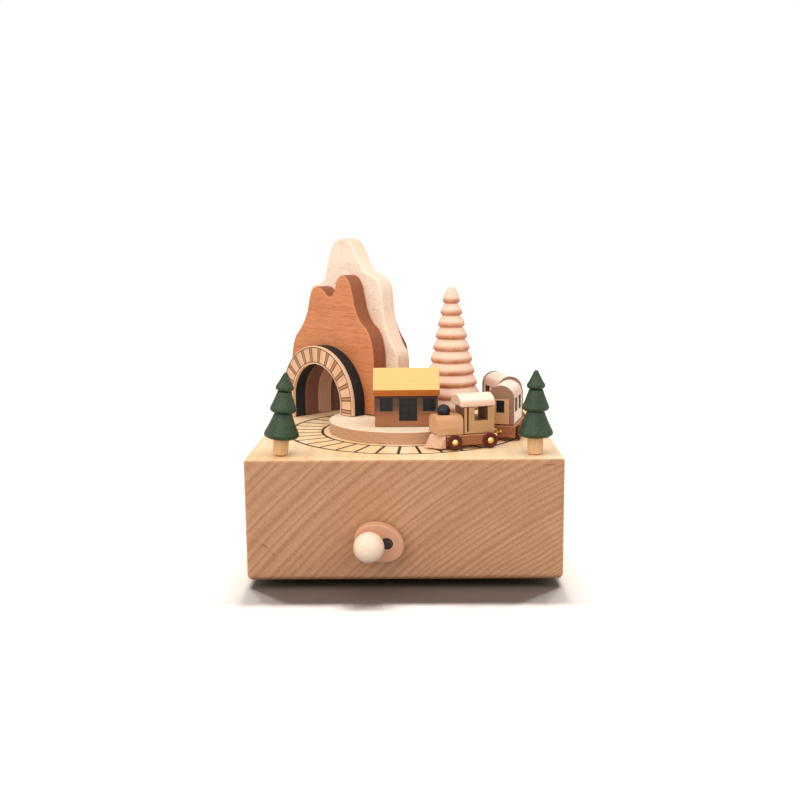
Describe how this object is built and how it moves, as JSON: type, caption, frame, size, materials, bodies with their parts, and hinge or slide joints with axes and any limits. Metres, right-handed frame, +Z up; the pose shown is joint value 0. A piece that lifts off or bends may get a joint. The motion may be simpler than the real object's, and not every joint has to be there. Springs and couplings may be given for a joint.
{
  "type": "music box",
  "caption": "Square wooden music box: a hand crank plays a pinned cylinder and drives a small train round a track through a layered mountain.",
  "frame": {"origin": "on the floor, below the middle of the bounding box, crank knob included", "axes": "+X to the right along the front wall, +Y away from the crank to the back, +Z up"},
  "size_m": [0.12, 0.1372, 0.1312],
  "materials": {
    "case_wood": "oiled end grain at the front",
    "plate_wood": "oiled",
    "pale_wood": "oiled",
    "red_wood": "oiled",
    "dark_wood": "oiled",
    "peach_wood": "oiled",
    "white_wood": "oiled",
    "black_stain": "matt stain",
    "green_stain": "brushed stain over bare trunks",
    "navy_stain": "satin stain",
    "wheel_red": "stained, with domed brass nail heads",
    "brass": "polished",
    "steel": "bright",
    "magnet_metal": "nickel plated",
    "felt": "pressed felt"
  },
  "bodies": {
    "base": {"case": "case_wood", "bottom_plate": "plate_wood", "front_left_foot": "felt", "front_right_foot": "felt", "rear_left_foot": "felt", "rear_right_foot": "felt", "bed_plate": "brass", "arbor_bracket": "brass", "comb": "steel", "comb_screw_left": "steel", "comb_screw_right": "steel", "bed_screw_rear": "steel", "bed_screw_front": "steel", "platform": "pale_wood", "arch_facing": "peach_wood", "arch_block": "black_stain", "mountain_front": "red_wood", "mountain_middle": "pale_wood", "mountain_rear": "dark_wood", "house_walls": "red_wood", "house_roof": "pale_wood", "turned_tree": "pale_wood", "left_tree": "green_stain", "right_tree": "green_stain"},
    "crank": {"crank_plate": "peach_wood", "crank_screw": "brass", "knob_pin": "steel", "worm_shaft": "steel"},
    "knob": {"crank_knob": "white_wood"},
    "pinned_cylinder": {"cylinder": "brass"},
    "carrier": {"spindle": "steel", "magnet_arm": "pale_wood", "arm_magnet": "magnet_metal"},
    "loco": {"loco_chassis": "red_wood", "loco_magnet": "magnet_metal", "cow_catcher": "peach_wood", "boiler": "plate_wood", "chimney": "navy_stain", "cab": "plate_wood", "loco_roof": "white_wood", "loco_rear_eye": "brass"},
    "wagon_1": {"wagon_1_chassis": "red_wood", "wagon_1_body": "plate_wood", "wagon_1_front_end": "dark_wood", "wagon_1_rear_end": "dark_wood", "wagon_1_roof": "white_wood", "wagon_1_front_eye": "brass", "wagon_1_rear_eye": "brass"},
    "wagon_2": {"wagon_2_chassis": "red_wood", "wagon_2_body": "plate_wood", "wagon_2_front_end": "dark_wood", "wagon_2_rear_end": "dark_wood", "wagon_2_roof": "white_wood", "wagon_2_front_eye": "brass"},
    "loco_front_wheels": {"loco_front_wheels": "wheel_red"},
    "loco_rear_wheels": {"loco_rear_wheels": "wheel_red"},
    "wagon_1_front_wheels": {"wagon_1_front_wheels": "wheel_red"},
    "wagon_1_rear_wheels": {"wagon_1_rear_wheels": "wheel_red"},
    "wagon_2_front_wheels": {"wagon_2_front_wheels": "wheel_red"},
    "wagon_2_rear_wheels": {"wagon_2_rear_wheels": "wheel_red"}
  },
  "joints": [
    {"name": "crank_turn", "type": "hinge", "parent": "base", "child": "crank", "pos_m": [-0.0065, 0, 0.019], "axis": [0, 1, 0], "continuous": true},
    {"name": "knob_spin", "type": "hinge", "parent": "crank", "child": "knob", "pos_m": [-0.0129, -0.06292, 0.01945], "axis": [0, 1, 0], "continuous": true},
    {"name": "cylinder_turn", "type": "hinge", "parent": "base", "child": "pinned_cylinder", "pos_m": [0, -0.02743, 0.0298], "axis": [1, 0, 0], "continuous": true},
    {"name": "carrier_turn", "type": "hinge", "parent": "base", "child": "carrier", "pos_m": [0, 0.00857, 0.019], "axis": [0, 0, 1], "continuous": true},
    {"name": "loco_travel", "type": "hinge", "parent": "base", "child": "loco", "pos_m": [0, 0.00857, 0.0495], "axis": [0, 0, 1], "continuous": true},
    {"name": "loco_front_wheels_roll", "type": "hinge", "parent": "loco", "child": "loco_front_wheels", "pos_m": [0.01741, -0.0296, 0.0527], "axis": [0.309, -0.9511, 0], "continuous": true},
    {"name": "loco_rear_wheels_roll", "type": "hinge", "parent": "loco", "child": "loco_rear_wheels", "pos_m": [0.03139, -0.02505, 0.0527], "axis": [0.309, -0.9511, 0], "continuous": true},
    {"name": "wagon_1_travel", "type": "hinge", "parent": "base", "child": "wagon_1", "pos_m": [0, 0.00857, 0.0495], "axis": [0, 0, 1], "continuous": true},
    {"name": "wagon_1_front_wheels_roll", "type": "hinge", "parent": "wagon_1", "child": "wagon_1_front_wheels", "pos_m": [0.03967, -0.01405, 0.0527], "axis": [0.9613, -0.2756, 0], "continuous": true},
    {"name": "wagon_1_rear_wheels_roll", "type": "hinge", "parent": "wagon_1", "child": "wagon_1_rear_wheels", "pos_m": [0.04353, -0.0006, 0.0527], "axis": [0.9613, -0.2756, 0], "continuous": true},
    {"name": "wagon_2_travel", "type": "hinge", "parent": "base", "child": "wagon_2", "pos_m": [0, 0.00857, 0.0495], "axis": [0, 0, 1], "continuous": true},
    {"name": "wagon_2_front_wheels_roll", "type": "hinge", "parent": "wagon_2", "child": "wagon_2_front_wheels", "pos_m": [0.04431, 0.01321, 0.0527], "axis": [0.9659, 0.2588, 0], "continuous": true},
    {"name": "wagon_2_rear_wheels_roll", "type": "hinge", "parent": "wagon_2", "child": "wagon_2_rear_wheels", "pos_m": [0.04069, 0.02674, 0.0527], "axis": [0.9659, 0.2588, 0], "continuous": true}
  ],
  "couplings": [
    {"joint": "cylinder_turn", "follows": "crank_turn", "ratio": 0.05},
    {"joint": "carrier_turn", "follows": "crank_turn", "ratio": -0.1},
    {"joint": "loco_travel", "follows": "crank_turn", "ratio": -0.1},
    {"joint": "loco_front_wheels_roll", "follows": "crank_turn", "ratio": 1.4469},
    {"joint": "loco_rear_wheels_roll", "follows": "crank_turn", "ratio": 1.4469},
    {"joint": "wagon_1_travel", "follows": "crank_turn", "ratio": -0.1},
    {"joint": "wagon_1_front_wheels_roll", "follows": "crank_turn", "ratio": 1.4845},
    {"joint": "wagon_1_rear_wheels_roll", "follows": "crank_turn", "ratio": 1.4845},
    {"joint": "wagon_2_travel", "follows": "crank_turn", "ratio": -0.1},
    {"joint": "wagon_2_front_wheels_roll", "follows": "crank_turn", "ratio": 1.4667},
    {"joint": "wagon_2_rear_wheels_roll", "follows": "crank_turn", "ratio": 1.4667}
  ]
}
